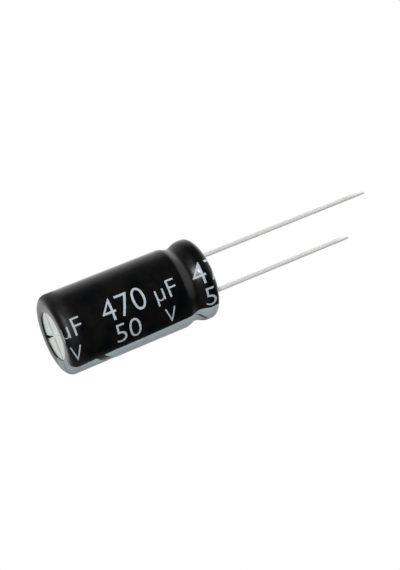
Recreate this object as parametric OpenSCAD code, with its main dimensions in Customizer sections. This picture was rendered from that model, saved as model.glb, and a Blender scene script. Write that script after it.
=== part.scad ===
// Radial aluminium electrolytic capacitor, standing on its vented head with the leads up.
// Z runs along the can's axis. Z = 0 is the plane of the sleeve's lip at the head, and the
// leads stand on the X axis, the negative one at +X.

/* [Can] */
// Outer diameter of the can
can_d = 10.0; // [9:0.1:12]
// Height of the can from its head to its curled mouth
can_h = 20.0; // [18:0.5:30]
// Wall of the drawn can
can_wall = 0.3; // [0.2:0.05:0.4]
// Thickness of the can's head
head_t = 0.4; // [0.3:0.05:0.6]
// Outer radius of the edge round the head
head_edge_r = 0.8; // [0.5:0.05:0.9]

/* [Vent] */
// Width of a scored vent groove at the surface
vent_w = 0.4; // [0.2:0.05:0.6]
// Depth of a vent groove
vent_depth = 0.16; // [0.1:0.02:0.26]
// Distance from a groove's end to the can's side
vent_margin = 1.3; // [1.2:0.1:3]
// Turn of the vent cross from the line of the leads
vent_turn = 27; // [0:1:89]

/* [Bead and curled mouth] */
// Distance from the mouth down to the bottom of the bead
bead_drop = 2.71; // [2.4:0.01:3.2]
// Depth of the bead in the can
bead_depth = 0.85; // [0.6:0.05:1]
// Reach of the bead's slope towards the head
bead_low = 1.5; // [1.3:0.05:1.8]
// Reach of the bead's slope towards the mouth
bead_high = 1.7; // [1.4:0.05:1.7]
// How far the mouth stands out past the can's side
mouth_bulge = 0.1; // [0:0.01:0.15]
// Outer radius of the curled mouth
curl_r = 0.65; // [0.55:0.05:0.75]
// Width of the curl, from the mouth's side to the opening inside it
curl_w = 1.35; // [1.2:0.05:1.45]
// Turn of the curl past its top, down into the seal
curl_sweep = 62; // [40:1:75]

/* [Sleeve] */
// Wall of the shrunk sleeve
sleeve_wall = 0.1; // [0.06:0.02:0.2]
// Thickness of the sleeve's lips, where it has drawn together
lip_t = 0.16; // [0.1:0.02:0.3]
// Outer radius of the sleeve's edge at the head
sleeve_head_r = 1.0; // [0.7:0.01:1.1]
// Outer radius of the sleeve's edge at the base
sleeve_base_r = 0.8; // [0.7:0.01:0.9]
// Width of the sleeve's lip over the can's head
head_lip_w = 2.0; // [1.5:0.05:2.5]
// Width of the sleeve's lip over the curled mouth
base_lip_w = 1.15; // [1.05:0.01:1.2]
// Depth of the waist that the sleeve shows over the bead
waist_depth = 0.375; // [0.2:0.005:0.5]

/* [Polarity print] */
// Middle of the stripe, as a turn from the negative lead
stripe_turn = 17; // [0:1:40]
// Width of the stripe as an angle round the can
stripe_angle = 54; // [40:1:70]
// Thickness of the printed ink
ink_t = 0.03; // [0.02:0.01:0.04]
// How far the ink follows the sleeve's edges round, short of the lips that it may stand on
ink_turn = 65; // [40:1:68]
// Height of the first arrow's outer ends
arrow_z = 3.2; // [3:0.1:5]
// Distance from one arrow to the next
arrow_pitch = 13.0; // [12:0.1:14]
// Number of arrows along the stripe
arrow_count = 2; // [1:1:2]
// Width of an arrow's band along the can
arrow_band = 1.1; // [0.8:0.1:1.4]
// Rise of an arrow from its outer ends to its point
arrow_rise = 2.0; // [0.8:0.1:2.4]

/* [Seal] */
// Height of the rubber seal from its underside to its outer face
seal_h = 4.2; // [4:0.1:5]
// Depth of the seal's outer face below the mouth
seal_sink = 0.3; // [0.2:0.05:0.5]
// Diameter at the top of the dimple round each lead
dimple_d = 2.0; // [1.8:0.1:2.2]
// Chamfer round the seal's underside
seal_chamfer = 0.35; // [0.1:0.05:0.5]

/* [Leads] */
// Spacing of the two leads
lead_pitch = 5.0; // [4.6:0.1:5]
// Diameter of the lead wire
lead_d = 0.6; // [0.5:0.05:0.8]
// Free length of the positive lead past the base
anode_len = 26.0; // [15:0.5:40]
// Free length of the negative lead past the base
cathode_len = 20.4; // [12:0.1:35]
// Bevel left where a lead was cut
lead_bevel = 0.06; // [0.02:0.01:0.1]
// Diameter of the weld between wire and tab
weld_d = 1.1; // [0.9:0.05:1.3]
// Height of the weld
weld_h = 0.5; // [0.4:0.05:0.7]

/* [Tabs] */
// Diameter of a tab's round boss
boss_d = 1.5; // [1.3:0.05:1.7]
// Depth of the boss's top below the seal's outer face, at the bottom of the dimple
boss_sink = 0.45; // [0.3:0.05:0.6]
// How far the boss stands out of the seal's underside
boss_stub = 0.25; // [0.1:0.05:0.4]
// Thickness of a tab's flat paddle
paddle_t = 0.25; // [0.15:0.05:0.4]
// Width of a paddle
paddle_w = 2.2; // [1.6:0.1:2.6]
// Depth to which a paddle reaches into the winding
paddle_reach = 10.5; // [6:0.5:12]

/* [Winding] */
// Clearance between the winding and the can's side
winding_play = 0.4; // [0.2:0.05:0.6]
// Clearance between the winding and the seal
headroom = 1.1; // [0.8:0.1:2]
// How far the papers stand past the foils at each end
paper_edge = 0.6; // [0.3:0.1:1]
// Distance from one turn to the next
turn_pitch = 0.3; // [0.24:0.02:0.5]
// Thickness of a turn's paper
paper_t = 0.16; // [0.1:0.02:0.2]
// Diameter of the hole left by the winding mandrel
mandrel_d = 2.0; // [1.6:0.1:2.4]
// Width of the closing tape
tape_w = 8.0; // [4:0.5:10]
// Thickness of the closing tape
tape_t = 0.06; // [0.04:0.01:0.08]
// Angle over which the tape's end laps its start
tape_lap = 60; // [20:5:120]

/* [Hidden] */
$fn = 96;

can_r = can_d / 2;
mouth_r = can_r + mouth_bulge;
curl_open_r = mouth_r - curl_w;
vent_len = can_d - 2 * vent_margin;
can_z = lip_t;
mouth_z = can_z + can_h;
bead_z = mouth_z - bead_drop;
bead_r = can_r - bead_depth;
sleeve_r = can_r + sleeve_wall;
sleeve_mouth_r = mouth_r + sleeve_wall;
waist_r = sleeve_r - waist_depth;
head_lip_r = sleeve_r - head_lip_w;
base_lip_r = sleeve_mouth_r - base_lip_w;
sleeve_top = mouth_z + lip_t;
floor_z = can_z + head_t;
seal_top = mouth_z - seal_sink;
seal_z = seal_top - seal_h;
boss_top = seal_top - boss_sink;
winding_d = can_d - 2 * (can_wall + winding_play);
winding_top = seal_z - headroom;
winding_h = winding_top - floor_z;
lead_x = lead_pitch / 2;
overcut = 0.5;
corner_steps = 10;
slope_steps = 12;

// Points along an arc round (cr, cz), from angle a0 to angle a1
function arc(cr, cz, r, a0, a1, steps = corner_steps) =
    [for (i = [0:steps]) let (a = a0 + (a1 - a0) * i / steps) [cr + r * cos(a), cz + r * sin(a)]];

// Points of a smooth slope from (r0, z0) to (r1, z1), upright at both ends
function slope(r0, z0, r1, z1, steps = slope_steps) =
    [for (i = [0:steps]) let (t = i / steps)
        [r0 + (r1 - r0) * (1 - cos(180 * t)) / 2, z0 + (z1 - z0) * t]];

// A waist in an upright side: down the bead's lower slope and out of its upper one
function waist(side_r, neck_r, rim_r) = concat(
    slope(side_r, bead_z - bead_low, neck_r, bead_z),
    [for (p = slope(neck_r, bead_z, rim_r, bead_z + bead_high)) if (p[1] > bead_z) p]);

function backwards(path) = [for (i = [len(path) - 1:-1:0]) path[i]];

function unit(v) = v / norm(v);

// A path moved sideways by d, to the left of its own direction
function shifted(path, d) = [for (i = [0:len(path) - 1])
    let (a = path[max(i - 1, 0)], b = path[min(i + 1, len(path) - 1)], t = unit(b - a))
    path[i] + d * [-t[1], t[0]]];

// Outside of the can, from the edge round its head to the tip of its curl
head_edge = arc(can_r - head_edge_r, can_z + head_edge_r, head_edge_r, -90, 0);
can_side = concat(head_edge, waist(can_r, bead_r, mouth_r));
curl_turn = arc(mouth_r - curl_r, mouth_z - curl_r, curl_r, 0, 90);
curl_tip = arc(curl_open_r + curl_r, mouth_z - curl_r, curl_r, 90, 90 + curl_sweep);
can_outside = concat(can_side, curl_turn, curl_tip);
can_inside = shifted(can_outside, can_wall);

// Outside of the sleeve, from lip to lip
function sleeve_side(turn) = concat(
    arc(sleeve_r - sleeve_head_r, sleeve_head_r, sleeve_head_r, -turn, 0),
    waist(sleeve_r, waist_r, sleeve_mouth_r),
    arc(sleeve_mouth_r - sleeve_base_r, sleeve_top - sleeve_base_r, sleeve_base_r, 0, turn));
sleeve_outside = concat([[head_lip_r, 0]], sleeve_side(90), [[base_lip_r, sleeve_top]]);
inked_side = sleeve_side(ink_turn);
// Inside of the sleeve: on the can, bridging its bead
sleeve_inside = concat([[head_lip_r, can_z]], head_edge,
    waist(can_r, waist_r - sleeve_wall, mouth_r), curl_turn, [[base_lip_r, mouth_z]]);

module sleeve() {
    color("#1b1b1d") rotate_extrude() polygon(concat(sleeve_outside, backwards(sleeve_inside)));
}

// The printed field: a skin of ink on the sleeve, bare where the arrows are
module polarity_stripe() {
    color("#97a19f") difference() {
        rotate([0, 0, stripe_turn - stripe_angle / 2]) rotate_extrude(angle = stripe_angle)
            polygon(concat(shifted(inked_side, -ink_t), backwards(inked_side)));
        for (i = [0:arrow_count - 1]) arrow_window(arrow_z + i * arrow_pitch);
    }
}

// A bare arrow across the stripe, its point towards the leads
module arrow_window(z) {
    half = sleeve_r * sin(stripe_angle / 2) + overcut;
    drop = arrow_rise * overcut / (half - overcut);
    rotate([0, 0, stripe_turn]) translate([overcut, 0, z]) rotate([90, 0, 90])
        linear_extrude(sleeve_r + overcut) polygon([
            [-half, -drop], [0, arrow_rise], [half, -drop],
            [half, arrow_band - drop], [0, arrow_rise + arrow_band], [-half, arrow_band - drop]]);
}

module can() {
    color("#d9dcda") difference() {
        rotate_extrude() polygon(concat([[0, can_z]], can_outside,
            backwards([for (p = can_inside) if (p[1] > floor_z) p]),
            [[can_r - can_wall - head_edge_r / 2, floor_z], [0, floor_z]]));
        for (turn = [0, 90]) rotate([0, 0, vent_turn + turn]) vent_groove();
    }
}

// One scored groove across the head, narrower at its bottom
module vent_groove() {
    translate([-vent_len / 2, 0, can_z]) rotate([90, 0, 90]) linear_extrude(vent_len) polygon([
        [-vent_w / 2, -overcut], [vent_w / 2, -overcut], [vent_w / 2, 0],
        [vent_w / 4, vent_depth], [-vent_w / 4, vent_depth], [-vent_w / 2, 0]]);
}

// The seal fills the can's mouth, so its side is the can's own inside
module rubber_seal() {
    grip = [for (p = can_inside) if (p[1] > seal_z + seal_chamfer) p];
    tip_out = can_outside[len(can_outside) - 1];
    tip_in = can_inside[len(can_inside) - 1];
    color("#2c2c2e") difference() {
        rotate_extrude() polygon(concat(
            [[0, seal_z], [can_r - can_wall - seal_chamfer, seal_z],
             [can_r - can_wall, seal_z + seal_chamfer]],
            grip, [tip_out, [tip_out[0] - can_wall / 2, seal_top], [0, seal_top]]));
        for (side = [-1, 1]) translate([side * lead_x, 0, 0]) lead_hole();
    }
}

// Filled by the tab's boss, above which it opens as a dimple round the weld
module lead_hole() {
    rotate_extrude() polygon([
        [0, seal_z - overcut], [boss_d / 2, seal_z - overcut], [boss_d / 2, boss_top],
        [dimple_d / 2, seal_top], [dimple_d / 2, seal_top + overcut], [0, seal_top + overcut]]);
}

// The foils lie tight between the papers, whose edges stand out as a spiral at both ends
module winding() {
    foil_h = winding_h - 2 * paper_edge;
    color("#b9a98a") difference() {
        union() {
            translate([0, 0, floor_z + paper_edge]) cylinder(h = foil_h, d = winding_d);
            translate([0, 0, floor_z]) paper_turns(winding_h);
        }
        translate([0, 0, floor_z - overcut]) cylinder(h = winding_h + 2 * overcut, d = mandrel_d);
        for (side = [-1, 1]) translate([side * lead_x, 0, 0]) paddle(overcut);
    }
}

// Half rings whose centres alternate by half a pitch, which join into one spiral
module paper_turns(h) {
    half_turns = floor((winding_d - mandrel_d - turn_pitch) / turn_pitch);
    for (k = [0:half_turns - 1]) {
        outer = (winding_d - turn_pitch / 2 - k * turn_pitch) / 2;
        side = k % 2;
        translate([(side - 0.5) * turn_pitch / 2, 0, 0]) rotate([0, 0, side * 180])
            rotate_extrude(angle = 180) translate([outer - paper_t, 0]) square([paper_t, h]);
    }
}

module winding_tape() {
    tape_z = floor_z + (winding_h - tape_w) / 2;
    color("#d8c9a0") translate([0, 0, tape_z]) {
        difference() {
            cylinder(h = tape_w, d = winding_d + 2 * tape_t);
            translate([0, 0, -overcut]) cylinder(h = tape_w + 2 * overcut, d = winding_d);
        }
        rotate_extrude(angle = tape_lap)
            translate([winding_d / 2 + tape_t / 2, 0]) square([tape_t * 1.5, tape_w]);
    }
}

// The flat end of a tab, with its face along the turns
module paddle(extra = 0) {
    translate([-paddle_t / 2, -paddle_w / 2, winding_top - paddle_reach])
        cube([paddle_t, paddle_w, paddle_reach + extra]);
}

// One piece of aluminium: a paddle pressed flat, and the round boss that the seal grips
module tab() {
    boss_z = seal_z - boss_stub;
    paddle();
    translate([0, 0, boss_z]) cylinder(h = boss_top - boss_z, d = boss_d);
    hull() {
        translate([0, 0, boss_z]) cylinder(h = 0.1, d = boss_d, $fn = 32);
        translate([-paddle_t / 2, -paddle_w / 2, winding_top - 0.1]) cube([paddle_t, paddle_w, 0.1]);
    }
}

module anode_tab() {
    color("#c9ccce") translate([-lead_x, 0, 0]) tab();
}

module cathode_tab() {
    color("#c9ccce") translate([lead_x, 0, 0]) tab();
}

// A wire with its weld on the boss below and a cut tip above
module lead(len) {
    tip = sleeve_top + len;
    r = lead_d / 2;
    rotate_extrude() polygon([
        [0, boss_top], [weld_d / 2, boss_top], [r, boss_top + weld_h],
        [r, tip - lead_bevel], [r - lead_bevel, tip], [0, tip]]);
}

module anode_lead() {
    color("#cfcfca") translate([-lead_x, 0, 0]) lead(anode_len);
}

module cathode_lead() {
    color("#cfcfca") translate([lead_x, 0, 0]) lead(cathode_len);
}

sleeve();
polarity_stripe();
can();
rubber_seal();
winding();
winding_tape();
anode_tab();
cathode_tab();
anode_lead();
cathode_lead();
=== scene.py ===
import math

import bmesh
import bpy
from mathutils import Matrix, Vector, noise


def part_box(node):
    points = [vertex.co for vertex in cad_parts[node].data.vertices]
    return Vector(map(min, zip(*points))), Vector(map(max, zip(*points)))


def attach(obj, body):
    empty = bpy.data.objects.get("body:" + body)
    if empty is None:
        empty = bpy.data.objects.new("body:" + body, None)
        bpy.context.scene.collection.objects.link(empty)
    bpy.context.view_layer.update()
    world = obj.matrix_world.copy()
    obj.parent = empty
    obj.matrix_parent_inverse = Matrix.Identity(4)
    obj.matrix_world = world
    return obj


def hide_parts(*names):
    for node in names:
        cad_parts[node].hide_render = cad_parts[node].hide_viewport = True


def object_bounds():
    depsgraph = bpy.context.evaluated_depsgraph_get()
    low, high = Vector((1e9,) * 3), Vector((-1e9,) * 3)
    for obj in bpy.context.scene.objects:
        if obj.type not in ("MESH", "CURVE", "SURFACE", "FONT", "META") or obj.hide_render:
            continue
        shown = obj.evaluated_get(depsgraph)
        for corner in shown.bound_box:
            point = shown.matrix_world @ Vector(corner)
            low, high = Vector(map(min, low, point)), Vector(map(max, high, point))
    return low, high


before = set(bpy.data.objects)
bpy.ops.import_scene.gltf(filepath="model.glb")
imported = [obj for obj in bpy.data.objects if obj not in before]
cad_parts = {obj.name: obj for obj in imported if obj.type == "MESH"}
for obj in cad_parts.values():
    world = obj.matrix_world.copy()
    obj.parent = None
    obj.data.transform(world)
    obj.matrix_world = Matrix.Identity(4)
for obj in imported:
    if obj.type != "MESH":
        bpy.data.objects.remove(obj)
cad_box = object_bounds()

# Camera
# It looks at the vented head from slightly below and from the negative lead's side, with the
# leads running away to the upper right, so the can's axis leans across the picture.
MM = 0.001
CAMERA_PLACE = Vector((66.272, -155.786, -44.889)) * MM
CAMERA_RIGHT = Vector((0.47707, -0.15863, 0.86443))
CAMERA_UP = Vector((-0.80131, -0.48249, 0.35369))
CAMERA_AHEAD = Vector((-0.36097, 0.86142, 0.35729))
SENSOR_LONG_SIDE = 36.0
PICTURE_LONG_SIDE = 570
FOCAL_PIXELS = 1464.5

camera_data = bpy.data.cameras.new("camera")
camera_data.sensor_width = SENSOR_LONG_SIDE
camera_data.lens = FOCAL_PIXELS / PICTURE_LONG_SIDE * SENSOR_LONG_SIDE
camera_data.clip_start = 0.01
camera_data.clip_end = 10.0
camera = bpy.data.objects.new("camera", camera_data)
camera_turn = Matrix((CAMERA_RIGHT, CAMERA_UP, -CAMERA_AHEAD)).transposed()
camera.matrix_world = Matrix.Translation(CAMERA_PLACE) @ camera_turn.to_4x4()
bpy.context.scene.collection.objects.link(camera)
bpy.context.scene.camera = camera
bpy.context.scene.view_settings.view_transform = "Standard"

# Shrink sleeve
# A tube of black polyester film, shrunk by heat on to the can. It draws together over both
# ends into lips, bridges the rolled bead as a shallow waist, and never lies quite even.
FILM_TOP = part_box("sleeve")[1].z
can_low, can_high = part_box("can")
HEAD_Z = can_low.z
MOUTH_Z = can_high.z
CAN_R = 5.0 * MM
CAN_EDGE_R = 0.8 * MM
MOUTH_BULGE = 0.1 * MM
MOUTH_R = CAN_R + MOUTH_BULGE
CURL_R = 0.65 * MM
BEAD_Z = MOUTH_Z - 2.71 * MM
BEAD_LOW = BEAD_Z - 1.5 * MM
BEAD_HIGH = BEAD_Z + 1.7 * MM
FILM_WALL = 0.1 * MM
FILM_R = CAN_R + FILM_WALL
FILM_MOUTH_R = MOUTH_R + FILM_WALL
WAIST_R = FILM_R - 0.375 * MM
HEAD_EDGE_R = 1.0 * MM
BASE_EDGE_R = 0.8 * MM
HEAD_HOLE_R = 3.1 * MM
BASE_HOLE_R = 4.05 * MM
# How far the film strays from true: a broad relief, folds at the bead, a ripple along both lips,
# and one crease in the head's lip
RELIEF_DEPTH = 0.014 * MM
RELIEF_SPAN = 2.6 * MM
FOLD_DEPTH = 0.022 * MM
FOLD_REACH = 1.3 * MM
FOLD_SPAN = 3.0 * MM
FOLDS_AROUND = 4.2
RIPPLE_DEPTH = 0.07 * MM
RIPPLES_AROUND = 1.7
HEAD_LIP_REACH = 1.1 * MM
BASE_LIP_REACH = 0.5 * MM
CREASE_TURN = math.radians(22.5)
CREASE_DEPTH = 0.09 * MM
CREASE_WIDTH = 0.12 * MM
CREASE_START = 0.2 * MM
CREASE_REACH = 2.6 * MM
TURNS = 240


def arc(cx, cz, r, start, end, steps):
    """Points along an arc in the section plane, angles in degrees."""
    turns = [math.radians(start + (end - start) * i / steps) for i in range(steps + 1)]
    return [(cx + r * math.cos(a), cz + r * math.sin(a)) for a in turns]


def slope(r0, z0, r1, z1, steps):
    """Points of a smooth slope that is upright at both ends, without its first point."""
    shares = [i / steps for i in range(1, steps + 1)]
    return [(r0 + (r1 - r0) * (1 - math.cos(math.pi * t)) / 2, z0 + (z1 - z0) * t) for t in shares]


def waist(side_r, neck_r, rim_r, steps):
    """A waist in an upright side: down the bead's lower slope and out of its upper one."""
    down = slope(side_r, BEAD_LOW, neck_r, BEAD_Z, steps)
    return [(side_r, BEAD_LOW)] + down + slope(neck_r, BEAD_Z, rim_r, BEAD_HIGH, steps)


def line(start, end, steps):
    """Points along a straight line, without its two ends."""
    shares = [i / steps for i in range(1, steps)]
    return [tuple(a + (b - a) * t for a, b in zip(start, end)) for t in shares]


head_lip = [(HEAD_HOLE_R, 0.10 * MM), (3.13 * MM, 0.06 * MM), (3.22 * MM, 0.035 * MM),
            (3.4 * MM, 0.018 * MM), (3.65 * MM, 0.005 * MM), (3.9 * MM, 0.0)]
head_arc = arc(FILM_R - HEAD_EDGE_R, HEAD_EDGE_R, HEAD_EDGE_R, -90, 0, 18)
base_arc = arc(FILM_MOUTH_R - BASE_EDGE_R, FILM_TOP - BASE_EDGE_R, BASE_EDGE_R, 0, 90, 14)
film_outside = head_lip + head_arc
film_outside += line(head_arc[-1], (FILM_R, BEAD_LOW), 36)
film_outside += waist(FILM_R, WAIST_R, FILM_MOUTH_R, 14)
film_outside += base_arc[1:]
film_outside += line(base_arc[-1], (BASE_HOLE_R, FILM_TOP), 3)
film_outside += [(BASE_HOLE_R, FILM_TOP), (BASE_HOLE_R - 0.03 * MM, FILM_TOP - 0.04 * MM)]
film_inside = [(HEAD_HOLE_R, HEAD_Z)]
film_inside += arc(CAN_R - CAN_EDGE_R, HEAD_Z + CAN_EDGE_R, CAN_EDGE_R, -90, 0, 8)
film_inside += waist(CAN_R, WAIST_R - FILM_WALL, MOUTH_R, 8)
film_inside += arc(MOUTH_R - CURL_R, MOUTH_Z - CURL_R, CURL_R, 0, 90, 8)
film_inside += [(BASE_HOLE_R - 0.02 * MM, MOUTH_Z)]

# Distances along the film's outside, counted from the edge of its lip at the head
film_steps = [math.dist(a, b) for a, b in zip(film_outside, film_outside[1:])]
film_reach = [sum(film_steps[:i]) for i in range(len(film_outside))]
SIDE_START = film_reach[len(head_lip) + len(head_arc) - 1]
FILM_END = film_reach[-2]


def film_section(s):
    """Point and outward normal of the film's outside at a distance s from its head lip's edge."""
    i = 0
    while i < len(film_steps) - 1 and film_reach[i + 1] < s:
        i += 1
    t = min(max((s - film_reach[i]) / film_steps[i], 0.0), 1.0)
    here = Vector(film_outside[i]).lerp(Vector(film_outside[i + 1]), t)
    tangents = []
    for k in (i, i + 1):
        before = Vector(film_outside[max(k - 1, 0)])
        after = Vector(film_outside[min(k + 1, len(film_outside) - 1)])
        tangents.append((after - before).normalized())
    tangent = tangents[0].lerp(tangents[1], t).normalized()
    return here, Vector((tangent.y, -tangent.x))


def film_point(turn, s, lift=0.0):
    """Place on the settled film at an angle turn and a distance s from its lip, raised by lift."""
    here, normal = film_section(s)
    around = Vector((math.cos(turn), math.sin(turn), 0.0))
    place = around * here.x + Vector((0, 0, here.y))
    relief = RELIEF_DEPTH * noise.noise(place / RELIEF_SPAN)
    near_bead = math.exp(-(((here.y - BEAD_Z) / FOLD_REACH) ** 2))
    folds = noise.noise(around * FOLDS_AROUND + Vector((0, 0, here.y / FOLD_SPAN)))
    relief += FOLD_DEPTH * near_bead * folds
    on_lip = max(0.0, 1 - s / HEAD_LIP_REACH) + max(0.0, 1 - (FILM_END - s) / BASE_LIP_REACH)
    relief *= max(0.0, 1 - on_lip)
    off_crease = (turn - CREASE_TURN) * here.x / CREASE_WIDTH
    in_head = min(1.0, s / CREASE_START) * max(0.0, 1 - s / CREASE_REACH)
    relief -= CREASE_DEPTH * in_head * math.exp(-off_crease * off_crease)
    ripple = noise.noise(around * RIPPLES_AROUND + Vector((0, 0, here.y / MM)))
    place += around * (RIPPLE_DEPTH * on_lip * ripple)
    return place + (around * normal.x + Vector((0, 0, normal.y))) * (relief + lift)


def finish_piece(bm, name, sharp_degrees=40):
    """Turns a bmesh into a smooth-shaded object of the scene that rides on the part."""
    mesh = bpy.data.meshes.new(name)
    bm.to_mesh(mesh)
    bm.free()
    mesh.shade_smooth()
    mesh.set_sharp_from_angle(angle=math.radians(sharp_degrees))
    piece = bpy.data.objects.new(name, mesh)
    bpy.context.scene.collection.objects.link(piece)
    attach(piece, "root")
    return piece


film = bmesh.new()
reach_layer = film.verts.layers.float.new("reach")
ring = []
for (x, z), s in zip(film_outside, film_reach):
    vert = film.verts.new((x, 0.0, z))
    vert[reach_layer] = s
    ring.append(vert)
for x, z in reversed(film_inside):
    vert = film.verts.new((x, 0.0, z))
    vert[reach_layer] = -1.0
    ring.append(vert)
edges = [film.edges.new(pair) for pair in zip(ring, ring[1:] + ring[:1])]
bmesh.ops.spin(film, geom=ring + edges, cent=(0, 0, 0), axis=(0, 0, 1),
               angle=math.tau, steps=TURNS, use_merge=True)
for vert in film.verts:
    if vert[reach_layer] >= 0:
        vert.co = film_point(math.atan2(vert.co.y, vert.co.x), vert[reach_layer])
bmesh.ops.recalc_face_normals(film, faces=film.faces)
sleeve = finish_piece(film, "shrunk_sleeve", sharp_degrees=50)
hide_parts("sleeve")


def new_material(name, metallic=0.0):
    """A material with a Principled shader, and Object coordinates in millimetres for patterns."""
    material = bpy.data.materials.new(name)
    material.use_nodes = True
    tree = material.node_tree
    shader = tree.nodes["Principled BSDF"]
    shader.inputs["Metallic"].default_value = metallic
    coordinates = tree.nodes.new("ShaderNodeTexCoord")
    mapping = tree.nodes.new("ShaderNodeMapping")
    mapping.inputs["Scale"].default_value = (1 / MM, 1 / MM, 1 / MM)
    tree.links.new(coordinates.outputs["Object"], mapping.inputs["Vector"])
    return material, tree, shader, mapping


MOTTLE_DETAIL = 4.0
MOTTLE_SPREAD = (0.35, 0.65)


def mottle_group():
    """Soft patches at one scale: the share of a second tone, and a surface height."""
    group = bpy.data.node_groups.new("mottle", "ShaderNodeTree")
    for name, kind, value in (("Vector", "NodeSocketVector", None), ("Scale", "NodeSocketFloat", 1.0),
                              ("Low", "NodeSocketFloat", 0.0), ("High", "NodeSocketFloat", 1.0)):
        socket = group.interface.new_socket(name, in_out="INPUT", socket_type=kind)
        if value is not None:
            socket.default_value = value
    for name in ("Value", "Height"):
        group.interface.new_socket(name, in_out="OUTPUT", socket_type="NodeSocketFloat")
    given = group.nodes.new("NodeGroupInput")
    result = group.nodes.new("NodeGroupOutput")
    patches = group.nodes.new("ShaderNodeTexNoise")
    patches.inputs["Detail"].default_value = MOTTLE_DETAIL
    span = group.nodes.new("ShaderNodeMapRange")
    span.inputs["From Min"].default_value = MOTTLE_SPREAD[0]
    span.inputs["From Max"].default_value = MOTTLE_SPREAD[1]
    group.links.new(given.outputs["Vector"], patches.inputs["Vector"])
    group.links.new(given.outputs["Scale"], patches.inputs["Scale"])
    group.links.new(patches.outputs["Fac"], span.inputs["Value"])
    group.links.new(given.outputs["Low"], span.inputs["To Min"])
    group.links.new(given.outputs["High"], span.inputs["To Max"])
    group.links.new(span.outputs["Result"], result.inputs["Value"])
    group.links.new(patches.outputs["Fac"], result.inputs["Height"])
    return group


mottle = mottle_group()


def add_mottle(tree, mapping, scale, low=0.0, high=1.0):
    """Places the mottle group with its own scale, counted per millimetre, and range of values."""
    node = tree.nodes.new("ShaderNodeGroup")
    node.node_tree = mottle
    node.inputs["Scale"].default_value = scale
    node.inputs["Low"].default_value = low
    node.inputs["High"].default_value = high
    tree.links.new(mapping.outputs["Vector"], node.inputs["Vector"])
    return node


def blend_colors(tree, share, first, second):
    """Mixes two colours, each fixed or a pattern's output, by a share that changes."""
    mix = tree.nodes.new("ShaderNodeMix")
    mix.data_type = "RGBA"
    for socket, color in ((mix.inputs[6], first), (mix.inputs[7], second)):
        if isinstance(color, bpy.types.NodeSocket):
            tree.links.new(color, socket)
        else:
            socket.default_value = (*color, 1)
    tree.links.new(share, mix.inputs["Factor"])
    return mix.outputs[2]


def height_over_head(tree, mapping):
    """The height over the vented head in millimetres."""
    place = tree.nodes.new("ShaderNodeSeparateXYZ")
    tree.links.new(mapping.outputs["Vector"], place.inputs["Vector"])
    return place.outputs["Z"]


def add_ramp(tree, value, stops):
    """Turns a value from 0 to 1 into a grey tone, by stops of a value and its tone."""
    ramp = tree.nodes.new("ShaderNodeValToRGB")
    elements = ramp.color_ramp.elements
    places = [stop[0] for stop in stops]
    tones = [stop[1] for stop in stops]
    elements[0].position = places[0]
    elements[1].position = places[-1]
    for place in places[1:-1]:
        elements.new(place)
    for element, tone in zip(elements, tones):
        element.color = (tone, tone, tone, 1)
    tree.links.new(value, ramp.inputs["Fac"])
    return ramp.outputs["Color"]


def add_bump(tree, shader, pattern, distance, strength):
    """Raises a pattern's height a little, through the shader's normal."""
    bump = tree.nodes.new("ShaderNodeBump")
    bump.inputs["Distance"].default_value = distance
    bump.inputs["Strength"].default_value = strength
    tree.links.new(pattern.outputs["Height"], bump.inputs["Height"])
    tree.links.new(bump.outputs["Normal"], shader.inputs["Normal"])


FILM_TONES = ((0.001, 0.0015, 0.002), (0.006, 0.0055, 0.005))
# Height in millimetres and roughness: the film is dull where the head draws it in and, less so,
# between the bead and the rim, and shiny elsewhere
FILM_DULLNESS = ((0.0, 0.16), (0.09, 0.2), (0.3, 0.5), (1.2, 0.5), (2.4, 0.12), (17.0, 0.12),
                 (17.6, 0.34), (18.3, 0.34), (18.8, 0.12), (20.3, 0.12))
film_material, tree, shader, mapping = new_material("black_film")
shader.inputs["IOR"].default_value = 1.5
cloud = add_mottle(tree, mapping, scale=0.5)
film_color = blend_colors(tree, cloud.outputs["Value"], *FILM_TONES)
tree.links.new(film_color, shader.inputs["Base Color"])
haze = add_mottle(tree, mapping, scale=1.7, high=0.08)
height = tree.nodes.new("ShaderNodeMapRange")
height.inputs["From Max"].default_value = FILM_TOP / MM
tree.links.new(height_over_head(tree, mapping), height.inputs["Value"])
dull_stops = [(z * MM / FILM_TOP, dull) for z, dull in FILM_DULLNESS]
drawn_in = add_ramp(tree, height.outputs["Result"], dull_stops)
dullness = tree.nodes.new("ShaderNodeMath")
tree.links.new(drawn_in, dullness.inputs[0])
tree.links.new(haze.outputs["Value"], dullness.inputs[1])
tree.links.new(dullness.outputs["Value"], shader.inputs["Roughness"])
grain = add_mottle(tree, mapping, scale=9.0)
add_bump(tree, shader, grain, distance=0.02 * MM, strength=0.15)
sleeve.data.materials.append(film_material)

# Polarity stripe
# Silver-grey ink printed on the flat film before it shrank, along the side of the negative
# lead. Bare arrows cross it, and it runs slightly askew, on over both edges of the can.
STRIPE_WIDTH = 54.0
STRIPE_FLARE = 1.5
STRIPE_FLARE_TOP = 6.0
STRIPE_STEP = 1.5
# Height in millimetres, counted on round both edges of the can, and the turn in degrees there of
# the stripe's edge beside the rating
STRIPE_EDGE = ((-9.0, -6.0), (1.0, -7.0), (6.0, -11.5), (10.0, -12.0), (16.5, -15.0), (20.0, -19.0),
               (22.0, -17.5), (24.0, -17.5))
# Both ends of each field: height, and how far the arrow's point in the middle stands above it
STRIPE_FIELDS = (
    ((-9.0, 0.0), (3.25, 2.0)),
    ((4.3, 2.2), (16.7, 1.8)),
    ((16.72, 2.45), (24.0, 0.0)),
)
STRIPE_TONES = ((0.46, 0.56, 0.585), (0.53, 0.63, 0.655))
INK_LIFT = 0.011 * MM
INK_WALL = 0.005 * MM
PRINT_TRIM = 0.02 * MM
BARE_CREASE = 2.5 * MM


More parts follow.
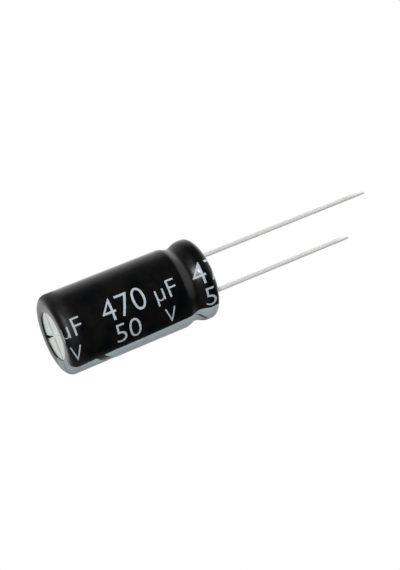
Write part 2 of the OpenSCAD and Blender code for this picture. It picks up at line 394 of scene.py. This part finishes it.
def stripe_edge(z):
    """The turn of the stripe's edge beside the rating, at a height in millimetres."""
    for (z0, turn0), (z1, turn1) in zip(STRIPE_EDGE, STRIPE_EDGE[1:]):
        if z <= z1:
            return turn0 + (turn1 - turn0) * (z - z0) / (z1 - z0)
    return STRIPE_EDGE[-1][1]


def reach_at(z):
    """Distance along the film's outside of a height in millimetres, counted as if the side went on."""
    return SIDE_START + z * MM - HEAD_EDGE_R


def lay_print(bm, name):
    """Trims a flat print, cuts it at the film's own folds, lays it on and gives it thickness."""
    for level, outward in ((PRINT_TRIM, -1), (FILM_END - PRINT_TRIM, 1)):
        bmesh.ops.bisect_plane(bm, geom=bm.verts[:] + bm.edges[:] + bm.faces[:], dist=1e-9,
                               plane_co=(0, level, 0), plane_no=(0, outward, 0), clear_outer=True)
    turns = [v.co.x for v in bm.verts]
    step = math.tau / TURNS
    cuts = [(Vector((1, 0, 0)), k * step)
            for k in range(math.ceil(min(turns) / step), math.ceil(max(turns) / step))]
    cuts += [(Vector((0, 1, 0)), s) for s in film_reach[1:-2]]
    for normal, level in cuts:
        bmesh.ops.bisect_plane(bm, geom=bm.verts[:] + bm.edges[:] + bm.faces[:], dist=1e-7,
                               plane_co=normal * level, plane_no=normal)
    crease = []
    for face in bm.faces:
        centre = face.calc_center_median()
        if abs(centre.x - CREASE_TURN) < step and centre.y < BARE_CREASE:
            crease.append(face)
    bmesh.ops.delete(bm, geom=crease, context="FACES")
    for vert in bm.verts:
        vert.co = film_point(vert.co.x, vert.co.y, INK_LIFT)
    bm.normal_update()
    middle = Vector((0, 0, FILM_TOP / 2))
    inward = [face for face in bm.faces if face.normal.dot(face.calc_center_median() - middle) < 0]
    bmesh.ops.reverse_faces(bm, faces=inward)
    bmesh.ops.solidify(bm, geom=bm.faces[:], thickness=INK_WALL)
    return finish_piece(bm, name)


stripe_bm = bmesh.new()
for (low, low_rise), (high, high_rise) in STRIPE_FIELDS:
    rows = []
    steps = max(3, round((high - low) / STRIPE_STEP))
    for k in range(steps + 1):
        z = low + (high - low) * k / steps
        rise = low_rise + (high_rise - low_rise) * k / steps
        row = []
        width = STRIPE_WIDTH + STRIPE_FLARE * max(0.0, STRIPE_FLARE_TOP - z)
        for share in (0.0, 0.5, 1.0):
            turn = math.radians(stripe_edge(z) + width * share)
            reach = reach_at(z + (rise if share == 0.5 else 0.0))
            row.append(stripe_bm.verts.new((turn, reach, 0)))
        rows.append(row)
    for a, b in zip(rows, rows[1:]):
        for k in (0, 1):
            stripe_bm.faces.new((a[k], a[k + 1], b[k + 1], b[k]))
stripe = lay_print(stripe_bm, "printed_stripe")
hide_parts("polarity_stripe")

ink_material, tree, shader, mapping = new_material("silver_grey_ink")
blotch = add_mottle(tree, mapping, scale=1.1)
ink_color = blend_colors(tree, blotch.outputs["Value"], *STRIPE_TONES)
tree.links.new(ink_color, shader.inputs["Base Color"])
speck = add_mottle(tree, mapping, scale=12.0, low=0.42, high=0.6)
tree.links.new(speck.outputs["Value"], shader.inputs["Roughness"])
add_bump(tree, shader, speck, distance=0.01 * MM, strength=0.2)
stripe.data.materials.append(ink_material)

# Rating print
# The capacitance and the voltage in the same kind of ink, in thin upright figures that read
# from the head to the leads. The print repeats along the film and is cut off at both ends.
FIGURE_THINNING = -0.011
RATING_TONES = ((0.39, 0.45, 0.51), (0.47, 0.53, 0.59))
RATING_DULLNESS = 0.45
REPEATS = (-12.6, 0.0, 12.35)
# Figures, their low and high ends in millimetres over the head, and their baseline's turn and
# their height in degrees round the can
RATING = (
    ("470", 5.2, 10.9, -56.0, 31.0),
    ("µF", 12.15, 15.0, -56.5, 24.0),
    ("50", 6.1, 9.4, -22.0, 27.5),
    ("V", 12.75, 14.15, -20.5, 23.0),
)

rating_bm = bmesh.new()
for words, low, high, baseline, figure_height in RATING:
    curve = bpy.data.curves.new("figures", "FONT")
    curve.body = words
    curve.offset = FIGURE_THINNING
    curve.resolution_u = 6
    figures = bpy.data.objects.new("figures", curve)
    bpy.context.scene.collection.objects.link(figures)
    graph = bpy.context.evaluated_depsgraph_get()
    mesh = bpy.data.meshes.new_from_object(figures.evaluated_get(graph))
    bpy.data.objects.remove(figures)
    bpy.data.curves.remove(curve)
    xs = [v.co.x for v in mesh.vertices]
    cap = max(v.co.y for v in mesh.vertices)
    for shift in REPEATS:
        copy = bmesh.new()
        copy.from_mesh(mesh)
        for vert in copy.verts:
            share = (vert.co.x - min(xs)) / (max(xs) - min(xs))
            turn = math.radians(baseline - figure_height * vert.co.y / cap)
            vert.co = (turn, reach_at(low + (high - low) * share + shift), 0)
        placed = bpy.data.meshes.new("placed")
        copy.to_mesh(placed)
        copy.free()
        rating_bm.from_mesh(placed)
        bpy.data.meshes.remove(placed)
    bpy.data.meshes.remove(mesh)
bmesh.ops.remove_doubles(rating_bm, verts=rating_bm.verts, dist=1e-7)
rating = lay_print(rating_bm, "rating_print")

rating_material, tree, shader, mapping = new_material("pale_print_ink")
shader.inputs["Roughness"].default_value = RATING_DULLNESS
blotch = add_mottle(tree, mapping, scale=2.4)
rating_color = blend_colors(tree, blotch.outputs["Value"], *RATING_TONES)
tree.links.new(rating_color, shader.inputs["Base Color"])
rating.data.materials.append(rating_material)

# Can
# Drawn from one disc of soft aluminium and left matt. A cross is scored into its head, where
# it tears if gas builds up inside. Its side is rolled into a bead and its mouth is curled in.
CAN_WALL = 0.3 * MM
HEAD_WALL = 0.4 * MM
HEAD_DISH = 0.05 * MM
CAN_FLOOR_Z = HEAD_Z + HEAD_WALL
CAN_FLOOR_R = CAN_R - CAN_WALL - 0.33 * MM
BEAD_R = 4.15 * MM
CURL_OPEN_R = 3.75 * MM
# Each scored arm's direction in degrees and width, and its depth at the middle and at its end
VENT_ARMS = ((207, 0.3 * MM, 0.04 * MM, 0.05 * MM), (27, 0.34 * MM, 0.04 * MM, 0.07 * MM),
             (297, 0.4 * MM, 0.04 * MM, 0.06 * MM), (117, 0.6 * MM, 0.03 * MM, 0.26 * MM))
VENT_LENGTH = 7.4 * MM
VENT_OVERLAP = 0.05 * MM
# The groove's section, in shares of its width and depth: wide at the face and narrow at its floor
GROOVE = ((-0.9, -1.0), (0.9, -1.0), (0.5, 0.0), (0.1, 1.0), (-0.1, 1.0), (-0.5, 0.0))
CAN_TONES = ((0.76, 0.83, 0.79), (0.88, 0.94, 0.91))
# Painted shade: the aluminium is darkened to near black at these heights in millimetres,
# where shade falls in the deep end of the scored arm. Only the deep arm's end shows there, and
# the rest is under the sleeve.
GROOVE_SHADE_DEPTHS = ((0.25, 0.0), (0.3, 1.0), (0.55, 1.0), (0.6, 0.0))
GROOVE_SHADE_TONE = (0.03, 0.03, 0.03)


def spin_section(points, segments):
    """A bmesh of a closed section turned about the can's axis."""
    bm = bmesh.new()
    verts = [bm.verts.new((x, 0.0, z)) for x, z in points]
    edges = [bm.edges.new(pair) for pair in zip(verts, verts[1:] + verts[:1])
             if max(abs(pair[0].co.x), abs(pair[1].co.x)) > 1e-9]
    bmesh.ops.spin(bm, geom=verts + edges, cent=(0, 0, 0), axis=(0, 0, 1),
                   angle=math.tau, steps=segments, use_merge=True)
    bmesh.ops.remove_doubles(bm, verts=bm.verts, dist=1e-8)
    bmesh.ops.recalc_face_normals(bm, faces=bm.faces)
    return bm


def shifted(path, distance):
    """A path moved sideways, to the left of its own direction."""
    moved = []
    for i, point in enumerate(path):
        before = Vector(path[max(i - 1, 0)])
        after = Vector(path[min(i + 1, len(path) - 1)])
        tangent = (after - before).normalized()
        moved.append((point[0] - tangent.y * distance, point[1] + tangent.x * distance))
    return moved


def carve(piece, cutter):
    """Cuts a closed bmesh out of a piece."""
    mesh = bpy.data.meshes.new("cutter")
    cutter.to_mesh(mesh)
    cutter.free()
    tool = bpy.data.objects.new("cutter", mesh)
    bpy.context.scene.collection.objects.link(tool)
    cut = piece.modifiers.new("cut", "BOOLEAN")
    cut.operation = "DIFFERENCE"
    cut.solver = "EXACT"
    cut.object = tool
    graph = bpy.context.evaluated_depsgraph_get()
    carved = bpy.data.meshes.new_from_object(piece.evaluated_get(graph))
    piece.modifiers.clear()
    old = piece.data
    piece.data = carved
    bpy.data.objects.remove(tool)
    bpy.data.meshes.remove(mesh)
    bpy.data.meshes.remove(old)


can_outside = [(0.0, HEAD_Z + HEAD_DISH), (2.6 * MM, HEAD_Z + HEAD_DISH),
               (3.05 * MM, HEAD_Z + HEAD_DISH * 0.6), (3.4 * MM, HEAD_Z)]
can_outside += arc(CAN_R - CAN_EDGE_R, HEAD_Z + CAN_EDGE_R, CAN_EDGE_R, -90, 0, 10)
can_outside += waist(CAN_R, BEAD_R, MOUTH_R, 12)
can_outside += arc(MOUTH_R - CURL_R, MOUTH_Z - CURL_R, CURL_R, 0, 90, 10)
can_outside += arc(CURL_OPEN_R + CURL_R, MOUTH_Z - CURL_R, CURL_R, 90, 152, 8)
can_inside = [p for p in shifted(can_outside, CAN_WALL) if p[1] > CAN_FLOOR_Z + 0.01 * MM]
can_inside.reverse()
can_inside += [(CAN_FLOOR_R, CAN_FLOOR_Z), (0.0, CAN_FLOOR_Z)]
can = finish_piece(spin_section(can_outside + can_inside, 192), "drawn_can")
for degrees, width, middle_depth, end_depth in VENT_ARMS:
    turn = math.radians(degrees)
    inward = Vector((-math.cos(turn), -math.sin(turn), 0))
    across = Vector((math.sin(turn), -math.cos(turn), 0))
    groove = bmesh.new()
    section = []
    for wide, deep in GROOVE:
        below = Vector((0, 0, HEAD_Z + HEAD_DISH + middle_depth * deep))
        section.append(groove.verts.new(across * (wide * width) + inward * VENT_OVERLAP + below))
    pushed = bmesh.ops.extrude_face_region(groove, geom=[groove.faces.new(section)])
    moved = [item for item in pushed["geom"] if isinstance(item, bmesh.types.BMVert)]
    for vert in moved:
        vert.co -= inward * (VENT_LENGTH / 2)
        if vert.co.z > HEAD_Z + HEAD_DISH + middle_depth / 2:
            vert.co.z += end_depth - middle_depth
    bmesh.ops.recalc_face_normals(groove, faces=groove.faces)
    carve(can, groove)
can.data.shade_smooth()
can.data.set_sharp_from_angle(angle=math.radians(30))
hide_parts("can")

aluminium, tree, shader, mapping = new_material("matt_aluminium", metallic=1.0)
etch = add_mottle(tree, mapping, scale=3.0)
etch_color = blend_colors(tree, etch.outputs["Value"], *CAN_TONES)
# Painted shade, near black, in the deep end of the scored arm, by height over the head
groove_shade = add_ramp(tree, height_over_head(tree, mapping), GROOVE_SHADE_DEPTHS)
groove_shaded_color = blend_colors(tree, groove_shade, etch_color, GROOVE_SHADE_TONE)
tree.links.new(groove_shaded_color, shader.inputs["Base Color"])
frost = add_mottle(tree, mapping, scale=14.0, low=0.36, high=0.5)
tree.links.new(frost.outputs["Value"], shader.inputs["Roughness"])
add_bump(tree, shader, frost, distance=0.02 * MM, strength=0.25)
can.data.materials.append(aluminium)

# Rubber seal
# A moulded bung of dark rubber, squeezed between the bead and the curled mouth. Its face is
# left a little crowned, with a dimple where each lead comes out.
SEAL_TOP = MOUTH_Z - 0.3 * MM
SEAL_LOW = SEAL_TOP - 4.2 * MM
SEAL_EDGE = 0.35 * MM
SEAL_CROWN = 0.04 * MM
LEAD_X = 2.5 * MM
BOSS_R = 0.75 * MM
BOSS_TOP = SEAL_TOP - 0.45 * MM
DIMPLE_R = 1.0 * MM
DIMPLE_FLARE = 0.12 * MM
CUTTER_LOW = SEAL_LOW - 0.5 * MM
CUTTER_TOP = SEAL_TOP + 0.08 * MM
RUBBER_TONES = ((0.018, 0.018, 0.02), (0.036, 0.036, 0.038))

seal_side = [p for p in can_inside if SEAL_LOW + SEAL_EDGE < p[1]]
seal_side.reverse()
seal_section = [(0.0, SEAL_LOW), (CAN_R - CAN_WALL - SEAL_EDGE, SEAL_LOW),
                (CAN_R - CAN_WALL, SEAL_LOW + SEAL_EDGE)]
seal_section += seal_side + [can_outside[-1]]
seal_section += [(3.6 * MM, SEAL_TOP - 0.02 * MM), (3.2 * MM, SEAL_TOP)]
seal_section += [(2.2 * MM, SEAL_TOP + SEAL_CROWN * 0.6), (1.0 * MM, SEAL_TOP + SEAL_CROWN)]
seal_section += [(0.0, SEAL_TOP + SEAL_CROWN)]
seal = finish_piece(spin_section(seal_section, 128), "bung")
for side in (-1, 1):
    profile = [(0.0, CUTTER_LOW), (BOSS_R, CUTTER_LOW), (BOSS_R, BOSS_TOP),
               (BOSS_R + 0.05 * MM, BOSS_TOP + 0.2 * MM), (DIMPLE_R, SEAL_TOP),
               (DIMPLE_R + DIMPLE_FLARE, CUTTER_TOP), (0.0, CUTTER_TOP)]
    hole = spin_section(profile, 48)
    bmesh.ops.translate(hole, verts=hole.verts, vec=(side * LEAD_X, 0, 0))
    carve(seal, hole)
seal.data.shade_smooth()
seal.data.set_sharp_from_angle(angle=math.radians(35))
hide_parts("rubber_seal")

rubber, tree, shader, mapping = new_material("seal_rubber")
bloom = add_mottle(tree, mapping, scale=1.3)
rubber_color = blend_colors(tree, bloom.outputs["Value"], *RUBBER_TONES)
tree.links.new(rubber_color, shader.inputs["Base Color"])
skin = add_mottle(tree, mapping, scale=16.0, low=0.6, high=0.8)
tree.links.new(skin.outputs["Value"], shader.inputs["Roughness"])
add_bump(tree, shader, skin, distance=0.04 * MM, strength=0.3)
seal.data.materials.append(rubber)

# Leads
# Two tinned steel wires, each butt-welded to the boss of its tab inside the dimple. The
# positive one is left longer, and the cutter leaves a small bevel on each end.
LEAD_R = 0.3 * MM
WELD_R = 0.55 * MM
WELD_TOP = BOSS_TOP + 0.5 * MM
TIP_BEVEL = 0.06 * MM
TIN_TONES = ((0.88, 0.88, 0.85), (0.96, 0.96, 0.94))
# The drawing die's marks run along the wire, so the pattern is stretched along it
ALONG_WIRE = 0.06

tin, tree, shader, mapping = new_material("bright_tin", metallic=0.35)
mapping.inputs["Scale"].default_value = (1 / MM, 1 / MM, ALONG_WIRE / MM)
drawn = add_mottle(tree, mapping, scale=7.0)
tin_color = blend_colors(tree, drawn.outputs["Value"], *TIN_TONES)
tree.links.new(tin_color, shader.inputs["Base Color"])
dull = add_mottle(tree, mapping, scale=3.0, low=0.22, high=0.34)
tree.links.new(dull.outputs["Value"], shader.inputs["Roughness"])
add_bump(tree, shader, drawn, distance=0.01 * MM, strength=0.2)
for name, side in (("anode_lead", -1), ("cathode_lead", 1)):
    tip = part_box(name)[1].z
    profile = [(0.0, BOSS_TOP), (WELD_R, BOSS_TOP), (WELD_R * 0.98, BOSS_TOP + 0.08 * MM),
               (0.42 * MM, BOSS_TOP + 0.22 * MM), (0.34 * MM, BOSS_TOP + 0.36 * MM), (LEAD_R, WELD_TOP)]
    profile += line((LEAD_R, WELD_TOP), (LEAD_R, tip - TIP_BEVEL), 12)
    profile += [(LEAD_R, tip - TIP_BEVEL), (LEAD_R - TIP_BEVEL * 0.35, tip - TIP_BEVEL * 0.3),
                (LEAD_R - TIP_BEVEL, tip), (0.0, tip)]
    wire = spin_section(profile, 32)
    bmesh.ops.translate(wire, verts=wire.verts, vec=(side * LEAD_X, 0, 0))
    piece = finish_piece(wire, name + "_wire")
    piece.data.materials.append(tin)
    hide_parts(name)

# Winding, closing tape and tabs
# Inside, out of sight: the roll of foils and soaked papers, the tape that holds it closed, and
# the two aluminium tabs pressed flat at one end. They stay as the solids show them.
PAPER_TONES = ((0.36, 0.26, 0.15), (0.5, 0.39, 0.25))
PAPER_DULLNESS = 0.8
TAPE_TONE = (0.62, 0.52, 0.33)
TAB_TONE = (0.76, 0.77, 0.78)

paper, tree, shader, mapping = new_material("soaked_paper")
shader.inputs["Roughness"].default_value = PAPER_DULLNESS
pulp = add_mottle(tree, mapping, scale=5.0)
paper_color = blend_colors(tree, pulp.outputs["Value"], *PAPER_TONES)
tree.links.new(paper_color, shader.inputs["Base Color"])
add_bump(tree, shader, pulp, distance=0.03 * MM, strength=0.4)

tape, tree, shader, mapping = new_material("closing_tape")
shader.inputs["Base Color"].default_value = (*TAPE_TONE, 1)
streak = add_mottle(tree, mapping, scale=2.0, low=0.28, high=0.42)
tree.links.new(streak.outputs["Value"], shader.inputs["Roughness"])
add_bump(tree, shader, streak, distance=0.02 * MM, strength=0.2)

tab_metal, tree, shader, mapping = new_material("pressed_aluminium", metallic=1.0)
shader.inputs["Base Color"].default_value = (*TAB_TONE, 1)
press = add_mottle(tree, mapping, scale=8.0, low=0.28, high=0.45)
tree.links.new(press.outputs["Value"], shader.inputs["Roughness"])
add_bump(tree, shader, press, distance=0.02 * MM, strength=0.25)

hidden = {"winding": paper, "winding_tape": tape, "anode_tab": tab_metal, "cathode_tab": tab_metal}
for name, material in hidden.items():
    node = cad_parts[name]
    node.data.materials.clear()
    node.data.materials.append(material)

# Studio
# A pale floor, and soft light from a room that is darker behind the camera. A small lamp above
# and behind the camera gives the film its glints. Two soft lamps, for the leads and the stripe,
# light matt surfaces only.
FLOOR_SIZE = 12.0
FLOOR_DROP = 0.04 * MM
FLOOR_TONE = (0.9, 0.9, 0.89)
# Each tone of the room stands after how far a direction points ahead of the camera, from -1 to 1
TONES_ABOVE = ((-1.0, 0.02), (-0.2, 0.04), (0.25, 0.13), (0.6, 0.6), (0.9, 1.0))
TONES_BELOW = ((-1.0, 0.01), (0.25, 0.03), (0.5, 0.18), (0.77, 0.6), (0.97, 0.9))
TONES_HEADWARD = ((-1.0, 0.08), (0.1, 0.12), (0.4, 0.5), (0.7, 0.92), (0.9, 1.1))
TONES_LEADWARD = ((-1.0, 0.8), (0.1, 0.8), (0.6, 1.5))
# Where one side of the room passes into the next, along the camera's up and the can's axis
FROM_BELOW_TO_ABOVE = ((-0.25, 0.0), (0.25, 1.0))
TO_HEADWARD = ((-0.1, 0.0), (0.3, 1.0))
TO_LEADWARD = ((0.45, 0.0), (0.7, 1.0))
# Each lamp's place in metres to the right, up and ahead of the can's middle, its side and watts
FRONT_LAMP = ((-0.03, 0.08, -0.3), 0.02, 0.65)
LEAD_LAMP = ((0.12, 0.14, 0.0), 0.15, 0.2)
STRIPE_LAMP = ((0.07, -0.12, -0.054), 0.1, 0.055)

floor_bm = bmesh.new()
bmesh.ops.create_grid(floor_bm, x_segments=1, y_segments=1, size=FLOOR_SIZE / 2)
bmesh.ops.translate(floor_bm, verts=floor_bm.verts, vec=(0, 0, cad_box[0][2] - FLOOR_DROP))
floor_mesh = bpy.data.meshes.new("floor")
floor_bm.to_mesh(floor_mesh)
floor_bm.free()
floor = bpy.data.objects.new("floor", floor_mesh)
bpy.context.scene.collection.objects.link(floor)

# The floor is clear from underneath, because the photograph's camera stands below it
floor_material = bpy.data.materials.new("pale_floor")
floor_material.use_nodes = True
tree = floor_material.node_tree
tree.nodes.clear()
output = tree.nodes.new("ShaderNodeOutputMaterial")
mix = tree.nodes.new("ShaderNodeMixShader")
diffuse = tree.nodes.new("ShaderNodeBsdfDiffuse")
clear = tree.nodes.new("ShaderNodeBsdfTransparent")
facing = tree.nodes.new("ShaderNodeNewGeometry")
diffuse.inputs["Color"].default_value = (*FLOOR_TONE, 1)
tree.links.new(facing.outputs["Backfacing"], mix.inputs["Fac"])
tree.links.new(diffuse.outputs["BSDF"], mix.inputs[1])
tree.links.new(clear.outputs["BSDF"], mix.inputs[2])
tree.links.new(mix.outputs["Shader"], output.inputs["Surface"])
floor_mesh.materials.append(floor_material)
floor.visible_glossy = False
floor.visible_diffuse = False
floor.visible_shadow = False

world = bpy.data.worlds.new("studio")
bpy.context.scene.world = world
world.use_nodes = True
tree = world.node_tree
tree.nodes.clear()
output = tree.nodes.new("ShaderNodeOutputWorld")
room = tree.nodes.new("ShaderNodeBackground")
backdrop = tree.nodes.new("ShaderNodeBackground")
pick = tree.nodes.new("ShaderNodeMixShader")
path = tree.nodes.new("ShaderNodeLightPath")
direction = tree.nodes.new("ShaderNodeTexCoord")


def along_axis(axis):
    """How far a direction of the room points along an axis, from -1 to 1."""
    dot = tree.nodes.new("ShaderNodeVectorMath")
    dot.operation = "DOT_PRODUCT"
    dot.inputs[1].default_value = axis
    tree.links.new(direction.outputs["Generated"], dot.inputs[0])
    return dot.outputs["Value"]


def tone_ramp(value, stops):
    """A grey tone for each value from -1 to 1."""
    span = tree.nodes.new("ShaderNodeMapRange")
    span.inputs["From Min"].default_value = -1.0
    tree.links.new(value, span.inputs["Value"])
    return add_ramp(tree, span.outputs["Result"], [((place + 1) / 2, tone) for place, tone in stops])


ahead = along_axis(CAMERA_AHEAD)
above = tone_ramp(ahead, TONES_ABOVE)
below = tone_ramp(ahead, TONES_BELOW)
head_side = tone_ramp(ahead, TONES_HEADWARD)
upper = tone_ramp(along_axis(CAMERA_UP), FROM_BELOW_TO_ABOVE)
headward = tone_ramp(along_axis((0, 0, -1)), TO_HEADWARD)
leadward = tone_ramp(along_axis((0, 0, 1)), TO_LEADWARD)
lead_side = tone_ramp(ahead, TONES_LEADWARD)
side_tones = blend_colors(tree, upper, below, above)
lead_tones = blend_colors(tree, leadward, side_tones, blend_colors(tree, upper, below, lead_side))
room_tones = blend_colors(tree, headward, lead_tones, head_side)
tree.links.new(room_tones, room.inputs["Color"])
backdrop.inputs["Color"].default_value = (1, 1, 1, 1)
tree.links.new(path.outputs["Is Camera Ray"], pick.inputs["Fac"])
tree.links.new(room.outputs["Background"], pick.inputs[1])
tree.links.new(backdrop.outputs["Background"], pick.inputs[2])
tree.links.new(pick.outputs["Shader"], output.inputs["Surface"])


def add_lamp(name, offset, size, watts):
    """A square lamp that faces the middle of the can. The offset is right, up and ahead."""
    middle = Vector((0, 0, FILM_TOP / 2))
    place = middle + CAMERA_RIGHT * offset[0] + CAMERA_UP * offset[1] + CAMERA_AHEAD * offset[2]
    data = bpy.data.lights.new(name, "AREA")
    data.shape = "SQUARE"
    data.size = size
    data.energy = watts
    lamp = bpy.data.objects.new(name, data)
    aim = (middle - place).to_track_quat("-Z", "Y").to_matrix().to_4x4()
    lamp.matrix_world = Matrix.Translation(place) @ aim
    bpy.context.scene.collection.objects.link(lamp)
    return lamp


add_lamp("front_lamp", *FRONT_LAMP)
lead_lamp = add_lamp("lead_lamp", *LEAD_LAMP)
lead_lamp.visible_glossy = False
stripe_lamp = add_lamp("stripe_lamp", *STRIPE_LAMP)
stripe_lamp.visible_glossy = False
